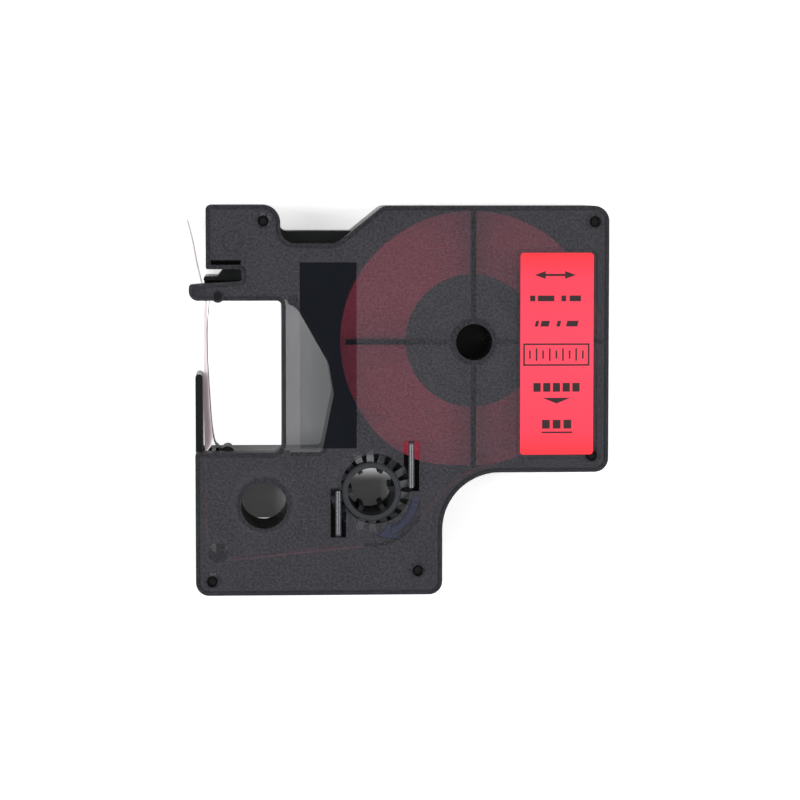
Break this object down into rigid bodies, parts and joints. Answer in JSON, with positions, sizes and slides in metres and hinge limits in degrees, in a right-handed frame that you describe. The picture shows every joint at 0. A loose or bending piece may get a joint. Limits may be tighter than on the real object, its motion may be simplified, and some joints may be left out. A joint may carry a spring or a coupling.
{
  "type": "label tape cassette",
  "caption": "Flat label tape cassette with a smoky cover, a reel of tape, supply and take-up ribbon spools, ratchet fingers and an open print-head window.",
  "frame": {"origin": "on the tape reel's axis, in the plane of the rear face", "axes": "+Z out of the cover along the reel's axis, +X away from the print-head window, +Y towards the head block"},
  "size_m": [0.0823, 0.0759, 0.0177],
  "materials": {
    "rear_case": "fine spark-eroded black styrene",
    "cover": "smoky translucent styrene, finely frosted",
    "label": "bright red printed film label",
    "core": "dark grey moulded styrene",
    "label_tape": "red polyester tape wound on edge",
    "ribbon": "black thermal-transfer film",
    "spool": "dark grey moulded acetal"
  },
  "bodies": {
    "case": {"rear_case": "rear_case", "front_cover": "cover", "contents_label": "label", "label_tape_run": "label_tape", "label_tape_tail": "label_tape", "ribbon_run": "ribbon"},
    "tape_reel": {"tape_core": "core", "label_tape_roll": "label_tape"},
    "ribbon_supply": {"ribbon_supply_core": "core", "ribbon_supply_roll": "ribbon"},
    "take_up": {"take_up_spool": "spool", "taken_up_ribbon": "ribbon"},
    "left_pawl": {"left_pawl_finger": "cover"},
    "right_pawl": {"right_pawl_finger": "cover"}
  },
  "joints": [
    {"name": "tape_reel_spin", "type": "hinge", "parent": "case", "child": "tape_reel", "pos_m": [0, 0, 0.0087], "axis": [0, 0, -1], "continuous": true},
    {"name": "take_up_spin", "type": "hinge", "parent": "case", "child": "take_up", "pos_m": [-0.0199, -0.0291, 0.0087], "axis": [0, 0, -1], "continuous": true},
    {"name": "ribbon_supply_spin", "type": "hinge", "parent": "case", "child": "ribbon_supply", "pos_m": [-0.0408, -0.0317, 0.0087], "axis": [0, 0, -1], "continuous": true},
    {"name": "left_pawl_flex", "type": "hinge", "parent": "case", "child": "left_pawl", "pos_m": [-0.0264, -0.03729, 0.01685], "axis": [1, 0, 0], "range_deg": [0, 7], "stiffness_Nm_per_rad": 0.002},
    {"name": "right_pawl_flex", "type": "hinge", "parent": "case", "child": "right_pawl", "pos_m": [-0.01215, -0.02001, 0.01685], "axis": [-1, 0, 0], "range_deg": [0, 7], "stiffness_Nm_per_rad": 0.002}
  ],
  "couplings": [
    {"joint": "take_up_spin", "follows": "tape_reel_spin", "ratio": 3.5143},
    {"joint": "ribbon_supply_spin", "follows": "tape_reel_spin", "ratio": 3.2368}
  ]
}
